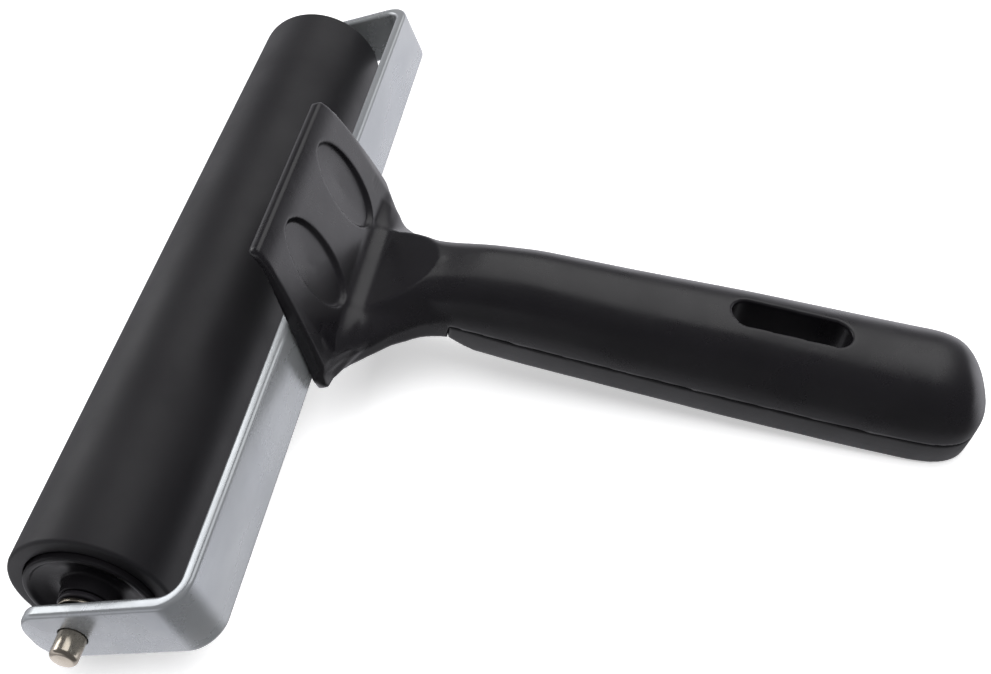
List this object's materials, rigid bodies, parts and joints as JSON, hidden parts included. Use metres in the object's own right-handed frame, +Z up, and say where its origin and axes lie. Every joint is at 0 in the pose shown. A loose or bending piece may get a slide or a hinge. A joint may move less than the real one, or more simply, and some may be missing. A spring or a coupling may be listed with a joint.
{
  "type": "rubber brayer",
  "caption": "Hand brayer: a soft rubber roller turning on a steel rod in a bent strip frame, on a moulded handle with a finger guard, recesses and a hanging slot.",
  "frame": {"origin": "centre of the overall box, at the level of the table that the tool lies on", "axes": "+X along the roller's axis, +Y forward from the grip's end to the roller, +Z up from the table"},
  "size_m": [0.2362, 0.217, 0.0586],
  "materials": {
    "zinc_plated_steel": "bright zinc plate",
    "polished_steel": "polished",
    "blackened_steel": "black oxide",
    "brass": "turned",
    "black_rubber": "ground smooth",
    "core_plastic": "plain",
    "cap_plastic": "moulded satin",
    "nylon": "moulded satin",
    "handle_plastic": "moulded satin",
    "cover_plastic": "moulded satin"
  },
  "bodies": {
    "frame": {"frame_bar": "zinc_plated_steel", "axle_rod": "polished_steel", "thrust_washer_left": "polished_steel", "thrust_washer_right": "polished_steel", "retaining_clip_left": "blackened_steel", "retaining_clip_right": "blackened_steel", "handle_shell": "handle_plastic", "grip_cover": "cover_plastic", "frame_screw_left": "zinc_plated_steel", "frame_screw_right": "zinc_plated_steel", "frame_lock_washer_left": "zinc_plated_steel", "frame_lock_washer_right": "zinc_plated_steel", "threaded_insert_left": "brass", "threaded_insert_right": "brass", "cover_screw_front": "blackened_steel", "cover_screw_middle": "blackened_steel", "cover_screw_rear": "blackened_steel"},
    "roller": {"rubber_sleeve": "black_rubber", "core_tube": "core_plastic", "end_cap_left": "cap_plastic", "end_cap_right": "cap_plastic", "axle_bush_left": "nylon", "axle_bush_right": "nylon"}
  },
  "joints": [
    {"name": "roller_spin", "type": "hinge", "parent": "frame", "child": "roller", "pos_m": [0, 0.08942, 0.01905], "axis": [1, 0, 0], "continuous": true}
  ]
}
